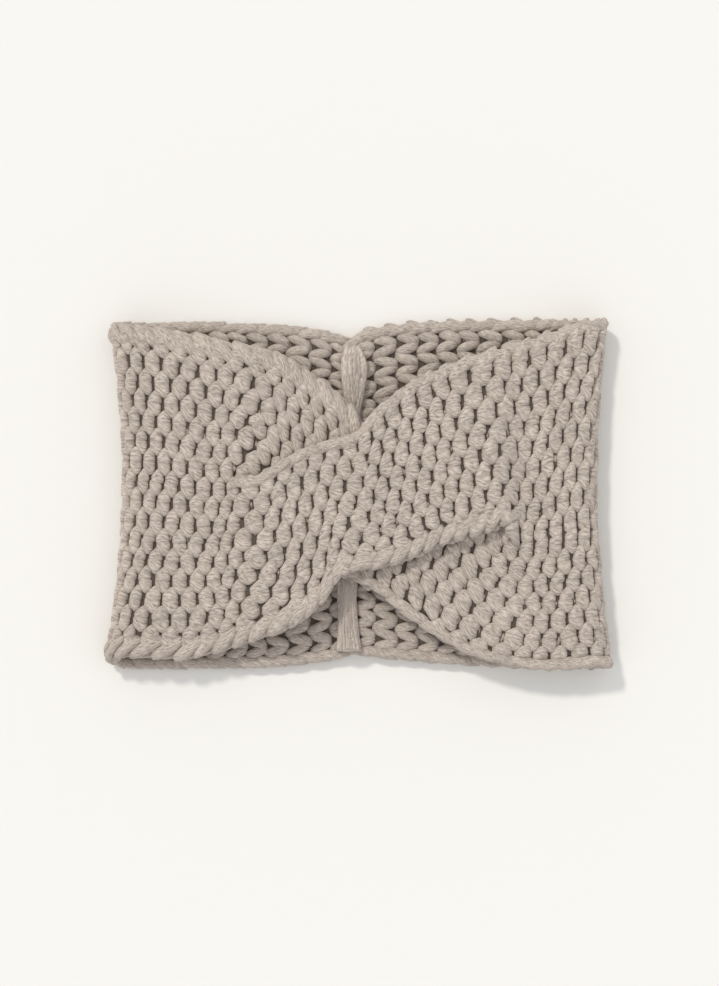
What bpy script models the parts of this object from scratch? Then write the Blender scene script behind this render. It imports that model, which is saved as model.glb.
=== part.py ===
"""Ear warmer headband: one thick knitted strip joined into a loop that lies flat.

The strip's ends meet in a seam at the middle of the back. At the front the strip parts into
two strands, which cross like a cable and join again. The loop lies on its back: +X runs along
its width to the wearer's left, +Y towards its top edge, +Z up through the front wall.
"""

import math
from collections import namedtuple

import bmesh
import bpy
import numpy as np

# Driving sizes, in metres
FLAT_WIDTH = 0.240         # the loop's width as it lies flat, fold to fold
STRIP_WIDTH = 0.163        # the knitted strip's width, selvedge to selvedge
WALL = 0.0065              # thickness of the knitting over a column of stitches
HOLLOW = 0.0065            # space between the back wall and the front wall
UNDER_SINK = 0.0015        # how far the under strand sinks below the front wall
STRAND_GAP = 0.0007        # clearance between the crossing strands
SLIT_GAP = 0.0009          # clearance where the strands part, side by side
RIB_DEPTH = 0.0009         # depth of the groove between two columns, on each face
SELVEDGE_THICKNESS = 0.0032  # thickness of the strip's rounded edges
EDGE_SAG = 0.0010          # how far the front wall's free edges hang below its middle
SEAM_WIDTH = 0.0140        # the seam roll at its widest
SEAM_RISE = 0.0042         # how far the seam roll stands out of the back wall
SEAM_CLEARANCE = 0.0003    # clearance between the seam roll and the back wall

# Stitch columns, counted across the strip
OVER_COLUMNS = 9
UNDER_COLUMNS = 8
COLUMNS = OVER_COLUMNS + UNDER_COLUMNS

# Where the rows of vertices lie across one column: its groove and the two sides of its flat crest
COLUMN_ROWS = (0.0, 0.25, 0.75)
STATION_COURSES = 2.2      # a mesh section at least every so many courses
FOLD_STEPS = 4             # sections round half a turn at each side
FOLD_COURSES = 2.6         # courses of stitches round each side fold
EASE_COLUMNS = 2           # columns over which the strip eases into a split
SEAM_THINNING = 0.75       # thickness of the knitting where its ends are joined, as a share
SEAM_SIDES = 16            # sides of the seam roll
SEAM_UNDERSIDE = 0.25      # the seam roll's depth below its widest line, as a share of its rise

# Colours and finish
YARN_COLOR = (0.52, 0.44, 0.37, 1.0)
SEAM_COLOR = (0.50, 0.42, 0.35, 1.0)
YARN_ROUGHNESS = 0.95

# Levels of the walls' middle surfaces above the surface that the band lies on
BACK_LEVEL = WALL / 2
FRONT_LEVEL = BACK_LEVEL + WALL + HOLLOW
OVER_LIFT = WALL + STRAND_GAP - UNDER_SINK
FOLD_RADIUS = (FRONT_LEVEL - BACK_LEVEL) / 2
HALF_WIDTH = FLAT_WIDTH / 2
HALF_STRIP = STRIP_WIDTH / 2

# Sections across the strip, in order round the loop. x is a share of HALF_WIDTH and y of
# HALF_STRIP; low is the lower edge, high the upper edge; courses are the rows of stitches
# knitted since the section before.
BackSection = namedtuple("BackSection", "courses x low_y high_y thickness")
BACK_LEFT = (
    BackSection(0.0, -0.03, -0.92, 0.89, SEAM_THINNING),
    BackSection(1.0, -0.10, -0.95, 0.93, 1.0),
    BackSection(3.0, -0.35, -0.99, 0.98, 1.0),
    BackSection(3.5, -0.62, -1.00, 0.99, 1.0),
)
BACK_RIGHT = (
    BackSection(3.7, 0.73, -1.00, 1.00, 1.0),
    BackSection(3.4, 0.45, -0.98, 1.00, 1.0),
    BackSection(3.4, 0.18, -0.95, 0.98, 1.0),
    BackSection(1.5, 0.05, -0.93, 0.95, 1.0),
)
BACK_TO_LEFT_FOLD = 3.7
BACK_TO_SEAM = 1.0

# The outline at each side fold: outermost x, with the y of its ends on the back and front walls
FoldEdge = namedtuple("FoldEdge", "low_x mid_x high_x low_back_y low_front_y mid_y high_front_y high_back_y")
LEFT_EDGE = FoldEdge(-1.00, -0.93, -0.98, -1.00, -0.93, 0.02, 0.97, 0.99)
RIGHT_EDGE = FoldEdge(1.00, 0.94, 0.98, -1.00, -0.98, -0.01, 0.99, 1.00)

PanelSection = namedtuple("PanelSection", "courses low_x low_y mid_x mid_y high_x high_y sag")
FRONT_LEFT = (
    PanelSection(2.5, -0.71, -0.94, -0.71, 0.04, -0.71, 0.93, 1.0),
    PanelSection(2.4, -0.53, -0.89, -0.56, 0.06, -0.53, 0.88, 1.0),
    PanelSection(1.1, -0.45, -0.85, -0.50, 0.08, -0.44, 0.85, 0.6),
)
FRONT_RIGHT = (
    PanelSection(1.4, 0.62, -0.98, 0.64, -0.10, 0.61, 0.86, 0.6),
    PanelSection(1.9, 0.76, -1.00, 0.75, -0.06, 0.75, 0.92, 1.0),
)
RIGHT_TO_FOLD = 2.0

# The two strands between the splits. level is a share of OVER_LIFT for the over strand,
# and of UNDER_SINK for the under strand.
StrandSection = namedtuple("StrandSection", "courses low_x low_y high_x high_y low_level mid_level high_level")
OVER_STRAND = (
    StrandSection(1.5, -0.34, -0.79, -0.40, 0.10, 0.55, 0.95, 1.0),
    StrandSection(1.4, -0.24, -0.73, -0.31, 0.17, 0.80, 1.0, 1.0),
    StrandSection(1.6, -0.15, -0.62, -0.21, 0.25, 0.95, 1.0, 1.0),
    StrandSection(1.7, -0.06, -0.44, -0.10, 0.30, 1.0, 1.0, 1.0),
    StrandSection(1.5, 0.07, -0.41, -0.01, 0.34, 1.0, 1.0, 1.0),
    StrandSection(1.8, 0.20, -0.36, 0.08, 0.49, 1.0, 1.0, 0.95),
    StrandSection(2.3, 0.34, -0.27, 0.22, 0.64, 1.0, 1.0, 0.80),
    StrandSection(2.4, 0.48, -0.22, 0.38, 0.75, 1.0, 0.95, 0.60),
    StrandSection(1.4, 0.56, -0.18, 0.51, 0.81, 1.0, 0.80, 0.30),
)
UNDER_STRAND = (
    StrandSection(1.5, -0.40, 0.10, -0.31, 0.80, 1.0, 0.9, 0.5),
    StrandSection(1.3, -0.32, -0.04, -0.22, 0.72, 1.0, 1.0, 0.8),
    StrandSection(1.7, -0.22, -0.19, -0.12, 0.62, 1.0, 1.0, 1.0),
    StrandSection(1.7, -0.13, -0.36, -0.03, 0.50, 1.0, 1.0, 1.0),
    StrandSection(1.4, -0.05, -0.46, 0.03, 0.36, 1.0, 1.0, 1.0),
    StrandSection(1.9, 0.06, -0.54, 0.15, 0.22, 1.0, 1.0, 1.0),
    StrandSection(2.1, 0.19, -0.69, 0.30, 0.10, 1.0, 1.0, 1.0),
    StrandSection(2.2, 0.34, -0.84, 0.44, -0.04, 0.8, 1.0, 1.0),
    StrandSection(1.8, 0.49, -0.94, 0.56, -0.18, 0.5, 0.9, 1.0),
)

# The seam roll on the back wall, from the lower edge up: y is a share of HALF_STRIP, x of
# HALF_WIDTH, and width of SEAM_WIDTH.
SeamSection = namedtuple("SeamSection", "y x width")
SEAM_ROLL = (
    SeamSection(-0.90, -0.040, 0.90),
    SeamSection(-0.80, -0.041, 0.72),
    SeamSection(-0.65, -0.045, 0.66),
    SeamSection(-0.45, -0.045, 0.80),
    SeamSection(-0.20, -0.040, 0.70),
    SeamSection(0.15, -0.030, 0.60),
    SeamSection(0.45, -0.022, 0.55),
    SeamSection(0.60, -0.018, 0.80),
    SeamSection(0.72, -0.017, 1.00),
    SeamSection(0.80, -0.020, 0.85),
    SeamSection(0.86, -0.025, 0.50),
)

Section = namedtuple("Section", "courses low mid high thickness")


def clear_scene():
    """Start from an empty file."""
    for item in list(bpy.data.objects):
        bpy.data.objects.remove(item, do_unlink=True)


def back_section(row):
    """A straight section across the back wall."""
    x = row.x * HALF_WIDTH
    low = (x, row.low_y * HALF_STRIP, BACK_LEVEL)
    mid = (x, 0.0, BACK_LEVEL)
    high = (x, row.high_y * HALF_STRIP, BACK_LEVEL)
    return Section(row.courses, low, mid, high, row.thickness)


def fold_sections(edge, from_back, courses_before):
    """The sections round one side fold, as half a turn between the back wall and the front."""
    sections = []
    side = math.copysign(1.0, edge.mid_x)
    for step in range(FOLD_STEPS + 1):
        front_share = step / FOLD_STEPS if from_back else 1.0 - step / FOLD_STEPS
        turn = math.pi * front_share
        bulge = WALL / 2 + FOLD_RADIUS * (1.0 - math.sin(turn))
        z = BACK_LEVEL + FOLD_RADIUS * (1.0 - math.cos(turn))
        sag = EDGE_SAG * front_share
        low_y = edge.low_back_y + (edge.low_front_y - edge.low_back_y) * front_share
        high_y = edge.high_back_y + (edge.high_front_y - edge.high_back_y) * front_share
        low = (edge.low_x * HALF_WIDTH - side * bulge, low_y * HALF_STRIP, z - sag)
        mid = (edge.mid_x * HALF_WIDTH - side * bulge, edge.mid_y * front_share * HALF_STRIP, z)
        high = (edge.high_x * HALF_WIDTH - side * bulge, high_y * HALF_STRIP, z - sag)
        courses = courses_before if step == 0 else FOLD_COURSES / FOLD_STEPS
        sections.append(Section(courses, low, mid, high, 1.0))
    return sections


def panel_section(row):
    """A bowed section across the front wall, whose free edges hang a little lower."""
    sag = row.sag * EDGE_SAG
    low = (row.low_x * HALF_WIDTH, row.low_y * HALF_STRIP, FRONT_LEVEL - sag)
    mid = (row.mid_x * HALF_WIDTH, row.mid_y * HALF_STRIP, FRONT_LEVEL)
    high = (row.high_x * HALF_WIDTH, row.high_y * HALF_STRIP, FRONT_LEVEL - sag)
    return Section(row.courses, low, mid, high, 1.0)


def strand_section(row, lift, low_inset, high_inset):
    """A straight section across one strand, held back from its neighbour at the splits."""
    low_x = row.low_x * HALF_WIDTH
    high_x = row.high_x * HALF_WIDTH
    low_y = row.low_y * HALF_STRIP + low_inset
    high_y = row.high_y * HALF_STRIP - high_inset
    low = (low_x, low_y, FRONT_LEVEL + row.low_level * lift)
    mid = ((low_x + high_x) / 2, (low_y + high_y) / 2, FRONT_LEVEL + row.mid_level * lift)
    high = (high_x, high_y, FRONT_LEVEL + row.high_level * lift)
    return Section(row.courses, low, mid, high, 1.0)


def strand_sections(table, lift, over):
    """One strand's sections; the slit at each end keeps the two strands' edges apart."""
    inset = SLIT_GAP / 2
    sections = []
    for index, row in enumerate(table):
        first = inset if index == 0 else 0.0
        last = inset if index == len(table) - 1 else 0.0
        if over:
            sections.append(strand_section(row, lift, last, first))
        else:
            sections.append(strand_section(row, lift, first, last))
    return sections


def loop_before_split():
    """Full sections from the seam round the left fold to the left split."""
    sections = [back_section(row) for row in BACK_LEFT]
    sections += fold_sections(LEFT_EDGE, True, BACK_TO_LEFT_FOLD)
    sections += [panel_section(row) for row in FRONT_LEFT]
    return sections


def loop_after_split():
    """Full sections from the right split round the right fold, back to the seam."""
    sections = [panel_section(row) for row in FRONT_RIGHT]
    sections += fold_sections(RIGHT_EDGE, False, RIGHT_TO_FOLD)
    sections += [back_section(row) for row in BACK_RIGHT]
    sections.append(back_section(BACK_LEFT[0])._replace(courses=BACK_TO_SEAM))
    return sections


def knots_of(sections):
    """How many courses lie between the seam and each section."""
    return np.cumsum([section.courses for section in sections])


def across(section, shares):
    """Points across a section, on the parabola through its low, middle and high points."""
    s = np.asarray(shares)[:, None]
    low, mid, high = (np.array(point) for point in (section.low, section.mid, section.high))
    return low * (1 - s) * (1 - 2 * s) + mid * 4 * s * (1 - s) + high * s * (2 * s - 1)


def smooth_along(knots, points, courses):
    """A curve through each row of points that never swings past them."""
    steps = np.diff(knots)[:, None, None]
    slopes = np.diff(points, axis=0) / steps
    tangents = np.zeros_like(points)
    tangents[0] = slopes[0]
    tangents[-1] = slopes[-1]
    before, after = slopes[:-1], slopes[1:]
    w_before = 2 * steps[1:] + steps[:-1]
    w_after = steps[1:] + 2 * steps[:-1]
    same_way = before * after > 0
    safe_before = np.where(same_way, before, 1.0)
    safe_after = np.where(same_way, after, 1.0)
    harmonic = (w_before + w_after) / (w_before / safe_before + w_after / safe_after)
    tangents[1:-1] = np.where(same_way, harmonic, 0.0)
    index = np.clip(np.searchsorted(knots, courses, side="right") - 1, 0, len(knots) - 2)
    span = (knots[index + 1] - knots[index])[:, None, None]
    t = ((courses - knots[index])[:, None, None]) / span
    start, end = points[index], points[index + 1]
    leave, arrive = tangents[index] * span, tangents[index + 1] * span
    return (start * (2 * t**3 - 3 * t**2 + 1) + leave * (t**3 - 2 * t**2 + t)
            + end * (3 * t**2 - 2 * t**3) + arrive * (t**3 - t**2))


def column_rows(columns):
    """Where the rows of vertices lie across a strand, counted in columns."""
    rows = [column + part for column in range(columns) for part in COLUMN_ROWS]
    return np.array(rows + [columns])


class Strand:
    """One strand with the stretch of the full strip that it grows out of and runs into."""

    def __init__(self, table, lift, over):
        self.over = over
        self.columns = OVER_COLUMNS if over else UNDER_COLUMNS
        self.before = loop_before_split()
        self.middle = strand_sections(table, lift, over)
        self.after = loop_after_split()
        self.knots = knots_of(self.before + self.middle + self.after)
        self.left_split = self.knots[len(self.before) - 1]
        self.right_split = self.knots[len(self.before) + len(self.middle)]

    def positions(self, rows, courses):
        """Points of this strand's rows (counted in its columns) at the given courses."""
        left_first = 0 if self.over else OVER_COLUMNS
        right_first = UNDER_COLUMNS if self.over else 0
        points = [across(s, (left_first + rows) / COLUMNS) for s in self.before]
        points += [across(s, rows / self.columns) for s in self.middle]
        points += [across(s, (right_first + rows) / COLUMNS) for s in self.after]
        return smooth_along(self.knots, np.array(points), np.asarray(courses, dtype=float))


def match_at_split(strand, other, rows, courses):
    """A strand's points on the full strip, eased to the row that both strands share."""
    own = strand.positions(rows, courses)
    for left in (True, False):
        own_row = strand.columns if left == strand.over else 0
        other_row = 0 if left == strand.over else other.columns
        shared_own = strand.positions(np.array([float(own_row)]), courses)
        shared_other = other.positions(np.array([float(other_row)]), courses)
        ease = np.clip(1.0 - abs(rows - own_row) / EASE_COLUMNS, 0.0, 1.0)[None, :, None]
        side = courses <= strand.left_split if left else courses >= strand.right_split
        own += np.where(side[:, None, None], ease * (shared_other - shared_own) / 2, 0.0)
    return own


def stations(knots):
    """The courses at which the mesh has a section: every knot, and points in long gaps."""
    places = [knots[0]]
    for start, end in zip(knots[:-1], knots[1:]):
        parts = math.ceil((end - start) / STATION_COURSES)
        places += [start + (end - start) * part / parts for part in range(1, parts + 1)]
    return np.array(places)


def thickness_at(courses, knots, sections):
    """Thickness of the knitting along the loop, as a share of the wall."""
    return np.interp(courses, knots, [section.thickness for section in sections])


def row_thickness(rows, columns):
    """Thickness across the strip as a share of the wall: grooves, crests and thin edges."""
    groove = 1.0 - 2 * RIB_DEPTH / WALL
    shares = np.where(rows % 1.0 == 0.0, groove, 1.0)
    shares[(rows == 0) | (rows == columns)] = SELVEDGE_THICKNESS / WALL
    return shares


def make_material(name, color):
    """A soft, dull yarn."""
    material = bpy.data.materials.new(name)
    material.use_nodes = True
    shader = material.node_tree.nodes["Principled BSDF"]
    shader.inputs["Base Color"].default_value = color
    shader.inputs["Roughness"].default_value = YARN_ROUGHNESS
    shader.inputs["Metallic"].default_value = 0.0
    material.diffuse_color = color
    return material


def add_object(name, mesh, collection, material):
    """Link a mesh as one named object with its own material."""
    mesh.materials.append(material)
    item = bpy.data.objects.new(name, mesh)
    collection.objects.link(item)
    return item


def build_band(collection):
    """The knitted strip: its middle surface, given its thickness by a Solidify modifier."""
    over = Strand(OVER_STRAND, OVER_LIFT, True)
    under = Strand(UNDER_STRAND, -UNDER_SINK, False)
    over_rows = column_rows(OVER_COLUMNS)
    under_rows = column_rows(UNDER_COLUMNS)

    mesh_builder = bmesh.new()
    weights = []

    def add_row(points, shares):
        """One line of vertices across the strip or a strand."""
        weights.extend(shares)
        return [mesh_builder.verts.new(point) for point in points]

    def add_full_rows(courses, left, thickness):
        """Lines of vertices across the whole strip; at the left the over strand is the lower half."""
        lower, upper = (over, under) if left else (under, over)
        lower_rows, upper_rows = (over_rows, under_rows) if left else (under_rows, over_rows)
        lower_points = match_at_split(lower, upper, lower_rows, courses)
        upper_points = match_at_split(upper, lower, upper_rows, courses)
        rows = np.concatenate([lower_rows, lower.columns + upper_rows[1:]])
        shares = row_thickness(rows, COLUMNS)
        lines = []
        for place in range(len(courses)):
            points = np.concatenate([lower_points[place], upper_points[place][1:]])
            lines.append(add_row(points, shares * thickness[place]))
        return lines

    def add_faces(lines):
        """Quads between neighbouring lines of vertices."""
        for line, following in zip(lines[:-1], lines[1:]):
            for row in range(len(line) - 1):
                mesh_builder.faces.new((line[row], following[row], following[row + 1], line[row + 1]))

    knots = over.knots
    sections = over.before + over.middle + over.after
    places = stations(knots)
    before = places[places <= over.left_split]
    after = places[places >= over.right_split][:-1]
    left_lines = add_full_rows(before, True, thickness_at(before, knots, sections))
    right_lines = add_full_rows(after, False, thickness_at(after, knots, sections))
    add_faces(left_lines)
    add_faces(right_lines + [left_lines[0]])

    for strand, rows in ((over, over_rows), (under, under_rows)):
        between = stations(strand.knots)
        between = between[(between > strand.left_split) & (between < strand.right_split)]
        shares = row_thickness(rows, strand.columns)
        lines = [add_row(points, shares) for points in strand.positions(rows, between)]
        count = len(rows)
        first = left_lines[-1][:count] if strand.over else left_lines[-1][-count:]
        last = right_lines[0][-count:] if strand.over else right_lines[0][:count]
        add_faces([first] + lines + [last])

    mesh_builder.normal_update()
    mesh = bpy.data.meshes.new("knit_band")
    mesh_builder.to_mesh(mesh)
    mesh_builder.free()
    band = add_object("knit_band", mesh, collection, make_material("knit_yarn", YARN_COLOR))

    group = band.vertex_groups.new(name="thickness")
    for index, weight in enumerate(weights):
        group.add([index], float(weight), "REPLACE")
    solidify = band.modifiers.new("knitting", "SOLIDIFY")
    solidify.thickness = WALL
    solidify.offset = 0.0
    solidify.use_even_offset = False
    solidify.vertex_group = group.name
    mesh.shade_smooth()
    return band


def build_seam(collection):
    """The felted roll over the joined ends: flat below, round above."""
    base = BACK_LEVEL + WALL / 2 + SEAM_CLEARANCE
    mesh_builder = bmesh.new()
    rings = []
    for row in SEAM_ROLL:
        half = row.width * SEAM_WIDTH / 2
        rise = row.width * SEAM_RISE
        ring = []
        for side in range(SEAM_SIDES):
            turn = 2 * math.pi * side / SEAM_SIDES
            depth = rise if math.sin(turn) > 0 else rise * SEAM_UNDERSIDE
            x = row.x * HALF_WIDTH + half * math.cos(turn)
            z = base + rise * SEAM_UNDERSIDE + depth * math.sin(turn)
            ring.append(mesh_builder.verts.new((x, row.y * HALF_STRIP, z)))
        rings.append(ring)
    for ring, following in zip(rings[:-1], rings[1:]):
        for side in range(SEAM_SIDES):
            after = (side + 1) % SEAM_SIDES
            mesh_builder.faces.new((ring[side], following[side], following[after], ring[after]))
    mesh_builder.faces.new(rings[0])
    mesh_builder.faces.new(rings[-1][::-1])
    bmesh.ops.recalc_face_normals(mesh_builder, faces=mesh_builder.faces)
    mesh = bpy.data.meshes.new("back_seam")
    mesh_builder.to_mesh(mesh)
    mesh_builder.free()
    mesh.shade_smooth()
    return add_object("back_seam", mesh, collection, make_material("seam_yarn", SEAM_COLOR))


clear_scene()
headband = bpy.data.collections.new("ear_warmer_headband")
bpy.context.scene.collection.children.link(headband)
build_band(headband)
build_seam(headband)
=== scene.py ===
import math
from collections import namedtuple

import bpy
import numpy as np
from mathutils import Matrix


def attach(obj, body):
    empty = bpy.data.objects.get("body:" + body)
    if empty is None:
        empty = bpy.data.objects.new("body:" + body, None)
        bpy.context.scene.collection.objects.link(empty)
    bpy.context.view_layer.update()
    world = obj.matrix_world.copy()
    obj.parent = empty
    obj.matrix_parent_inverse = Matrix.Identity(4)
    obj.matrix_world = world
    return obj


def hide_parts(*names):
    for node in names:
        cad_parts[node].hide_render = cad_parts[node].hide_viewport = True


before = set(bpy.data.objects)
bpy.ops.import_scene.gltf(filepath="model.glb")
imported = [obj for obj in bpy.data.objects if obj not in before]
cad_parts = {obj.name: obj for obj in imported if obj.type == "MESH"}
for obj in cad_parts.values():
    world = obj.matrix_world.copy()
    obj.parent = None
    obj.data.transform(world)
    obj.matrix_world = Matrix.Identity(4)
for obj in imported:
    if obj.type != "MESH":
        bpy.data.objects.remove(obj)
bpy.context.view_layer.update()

# The table that the headband lies on, the camera straight above it and the soft daylight from
# its upper left. The camera looks down as in the photograph, so the floor fills the picture.
# Lengths are in metres unless a comment or a name says otherwise.
MM = 0.001
PICTURE_HEIGHT = 986
MM_PER_PIXEL = 0.47
CAMERA_HEIGHT = 1.20
OUTLINE_HEIGHT = 0.010
VIEW_CENTRE = (0.0005, 0.0007)
FLOOR_SIZE = 6.0
FLOOR_COLOR = (0.90, 0.877, 0.828, 1.0)
FLOOR_ROUGHNESS = 0.9
SKY_COLOR = (0.95, 0.966, 1.0, 1.0)
SKY_STRENGTH = 0.80
DAYLIGHT_FROM = (-0.56, 0.76, 1.0)
DAYLIGHT_COLOR = (1.0, 0.976, 0.92)
DAYLIGHT_STRENGTH = 1.30
DAYLIGHT_SPREAD_DEG = 7.0

scene = bpy.context.scene
scene.view_settings.view_transform = "Standard"
scene.view_settings.look = "None"

camera_data = bpy.data.cameras.new("camera")
camera_data.sensor_width = 36.0
camera_data.lens = (camera_data.sensor_width * (CAMERA_HEIGHT - OUTLINE_HEIGHT)
                    / (PICTURE_HEIGHT * MM_PER_PIXEL * MM))
camera_data.clip_start = 0.01
camera_data.dof.use_dof = False
camera = bpy.data.objects.new("camera", camera_data)
camera.location = (VIEW_CENTRE[0], VIEW_CENTRE[1], CAMERA_HEIGHT)
scene.collection.objects.link(camera)
scene.camera = camera

world = bpy.data.worlds.new("studio")
world.use_nodes = True
world.node_tree.nodes["Background"].inputs["Color"].default_value = SKY_COLOR
world.node_tree.nodes["Background"].inputs["Strength"].default_value = SKY_STRENGTH
scene.world = world


def plain_material(name, color, roughness):
    """A material of one colour."""
    material = bpy.data.materials.new(name)
    material.use_nodes = True
    shader = material.node_tree.nodes["Principled BSDF"]
    shader.inputs["Base Color"].default_value = color
    shader.inputs["Roughness"].default_value = roughness
    return material


floor_mesh = bpy.data.meshes.new("floor")
half_floor = FLOOR_SIZE / 2
floor_mesh.from_pydata([(-half_floor, -half_floor, 0), (half_floor, -half_floor, 0),
                        (half_floor, half_floor, 0), (-half_floor, half_floor, 0)], [], [(0, 1, 2, 3)])
floor = bpy.data.objects.new("floor", floor_mesh)
scene.collection.objects.link(floor)
floor_mesh.materials.append(plain_material("pale_paper", FLOOR_COLOR, FLOOR_ROUGHNESS))

daylight_data = bpy.data.lights.new("daylight", "SUN")
daylight_data.energy = DAYLIGHT_STRENGTH
daylight_data.color = DAYLIGHT_COLOR
daylight_data.angle = math.radians(DAYLIGHT_SPREAD_DEG)
daylight = bpy.data.objects.new("daylight", daylight_data)
daylight.location = DAYLIGHT_FROM
daylight.rotation_euler = (-daylight.location).to_track_quat("-Z", "Y").to_euler()
scene.collection.objects.link(daylight)

# The knitted strip's form: a loop of wool knitting, 17 columns wide, joined at the middle of the
# back, parted into two strands that cross at the front. Its inner layer is built here as a thin
# sheet through the middle of the knitting, coloured dark as painted shade for the deep slits and
# gaps between the stitches; the stitches of both faces lie on it.
FLAT_WIDTH = 0.240
STRIP_WIDTH = 0.163
WALL = 0.0065
HOLLOW = 0.0065
UNDER_SINK = 0.0015
STRAND_GAP = 0.0007
SLIT_GAP = 0.0009
EDGE_SAG = 0.0010
OVER_COLUMNS = 9.5
UNDER_COLUMNS = 7.5
COLUMNS = OVER_COLUMNS + UNDER_COLUMNS
FOLD_STEPS = 4
FOLD_COURSES = 3.6
EASE_COLUMNS = 2
BACK_LEVEL = WALL / 2
FRONT_LEVEL = BACK_LEVEL + WALL + HOLLOW
OVER_LIFT = WALL + STRAND_GAP - UNDER_SINK
FOLD_RADIUS = (FRONT_LEVEL - BACK_LEVEL) / 2
HALF_WIDTH = FLAT_WIDTH / 2
HALF_STRIP = STRIP_WIDTH / 2

# Sections across the strip, in order round the loop from the seam: x as a share of half the
# width, y of half the strip, and courses as the rows of stitches knitted since the section before.
BackSection = namedtuple("BackSection", "courses x low_y high_y")
BACK_LEFT = (
    BackSection(0.0, -0.03, -0.92, 0.89),
    BackSection(1.0, -0.10, -0.95, 0.93),
    BackSection(3.0, -0.35, -0.99, 0.98),
    BackSection(3.5, -0.62, -1.00, 0.99),
)
BACK_RIGHT = (
    BackSection(3.7, 0.73, -1.00, 1.00),
    BackSection(3.4, 0.45, -0.98, 1.00),
    BackSection(3.4, 0.18, -0.95, 0.98),
    BackSection(1.5, 0.05, -0.93, 0.95),
)
BACK_TO_LEFT_FOLD = 3.7
BACK_TO_SEAM = 1.0

FoldEdge = namedtuple(
    "FoldEdge", "low_x mid_x high_x low_back_y low_front_y mid_y high_front_y high_back_y")
LEFT_EDGE = FoldEdge(-1.00, -0.93, -0.98, -1.00, -0.93, 0.02, 0.97, 0.99)
RIGHT_EDGE = FoldEdge(1.00, 0.94, 0.98, -1.00, -0.98, -0.01, 0.99, 1.00)

PanelSection = namedtuple("PanelSection", "courses low_x low_y mid_x mid_y high_x high_y sag")
FRONT_LEFT = (
    PanelSection(2.5, -0.71, -0.94, -0.71, 0.00, -0.71, 0.93, 1.0),
    PanelSection(2.4, -0.53, -0.89, -0.56, -0.03, -0.53, 0.88, 1.0),
    PanelSection(1.1, -0.45, -0.85, -0.50, -0.02, -0.44, 0.85, 0.6),
)
FRONT_RIGHT = (
    PanelSection(1.4, 0.62, -0.98, 0.64, -0.10, 0.61, 0.86, 0.6),
    PanelSection(1.9, 0.76, -1.00, 0.75, -0.06, 0.75, 0.92, 1.0),
)
RIGHT_TO_FOLD = 2.0

# A strand's levels are shares of its lift: upwards for the over strand, down for the under strand.
StrandSection = namedtuple(
    "StrandSection", "courses low_x low_y high_x high_y low_level mid_level high_level")
OVER_STRAND = (
    StrandSection(1.5, -0.34, -0.79, -0.40, 0.10, 0.55, 0.95, 1.0),
    StrandSection(1.4, -0.24, -0.73, -0.31, 0.17, 0.80, 1.0, 1.0),
    StrandSection(1.6, -0.15, -0.62, -0.21, 0.25, 0.95, 1.0, 1.0),
    StrandSection(1.7, -0.06, -0.44, -0.10, 0.30, 1.0, 1.0, 1.0),
    StrandSection(1.5, 0.07, -0.41, -0.01, 0.34, 1.0, 1.0, 1.0),
    StrandSection(1.8, 0.20, -0.36, 0.08, 0.49, 1.0, 1.0, 0.95),
    StrandSection(2.3, 0.34, -0.27, 0.22, 0.64, 1.0, 1.0, 0.80),
    StrandSection(2.4, 0.48, -0.22, 0.38, 0.75, 1.0, 0.95, 0.60),
    StrandSection(1.4, 0.56, -0.18, 0.51, 0.81, 1.0, 0.80, 0.30),
)
UNDER_STRAND = (
    StrandSection(1.8, -0.38, 0.02, -0.31, 0.80, 1.0, 0.9, 0.5),
    StrandSection(1.6, -0.29, -0.14, -0.22, 0.72, 1.0, 1.0, 0.8),
    StrandSection(1.7, -0.20, -0.25, -0.12, 0.62, 1.0, 1.0, 1.0),
    StrandSection(1.55, -0.13, -0.36, -0.03, 0.50, 1.0, 1.0, 1.0),
    StrandSection(1.25, -0.05, -0.46, 0.03, 0.36, 1.0, 1.0, 1.0),
    StrandSection(1.6, 0.06, -0.54, 0.15, 0.22, 1.0, 1.0, 1.0),
    StrandSection(2.1, 0.19, -0.69, 0.30, 0.10, 1.0, 1.0, 1.0),
    StrandSection(2.2, 0.34, -0.84, 0.44, -0.04, 0.8, 1.0, 1.0),
    StrandSection(1.8, 0.49, -0.94, 0.56, -0.18, 0.5, 0.9, 1.0),
)
Section = namedtuple("Section", "courses low mid high")


def back_section(row):
    """A straight section across the back wall."""
    x = row.x * HALF_WIDTH
    return Section(row.courses, (x, row.low_y * HALF_STRIP, BACK_LEVEL), (x, 0.0, BACK_LEVEL),
                   (x, row.high_y * HALF_STRIP, BACK_LEVEL))


def fold_sections(edge, from_back, courses_before):
    """The sections round one side fold, as half a turn between the back wall and the front."""
    sections = []
    side = math.copysign(1.0, edge.mid_x)
    for step in range(FOLD_STEPS + 1):
        front_share = step / FOLD_STEPS if from_back else 1.0 - step / FOLD_STEPS
        turn = math.pi * front_share
        bulge = WALL / 2 + FOLD_RADIUS * (1.0 - math.sin(turn))
        z = BACK_LEVEL + FOLD_RADIUS * (1.0 - math.cos(turn))
        sag = EDGE_SAG * front_share
        low_y = edge.low_back_y + (edge.low_front_y - edge.low_back_y) * front_share
        high_y = edge.high_back_y + (edge.high_front_y - edge.high_back_y) * front_share
        low = (edge.low_x * HALF_WIDTH - side * bulge, low_y * HALF_STRIP, z - sag)
        mid = (edge.mid_x * HALF_WIDTH - side * bulge, edge.mid_y * front_share * HALF_STRIP, z)
        high = (edge.high_x * HALF_WIDTH - side * bulge, high_y * HALF_STRIP, z - sag)
        courses = courses_before if step == 0 else FOLD_COURSES / FOLD_STEPS
        sections.append(Section(courses, low, mid, high))
    return sections


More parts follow.
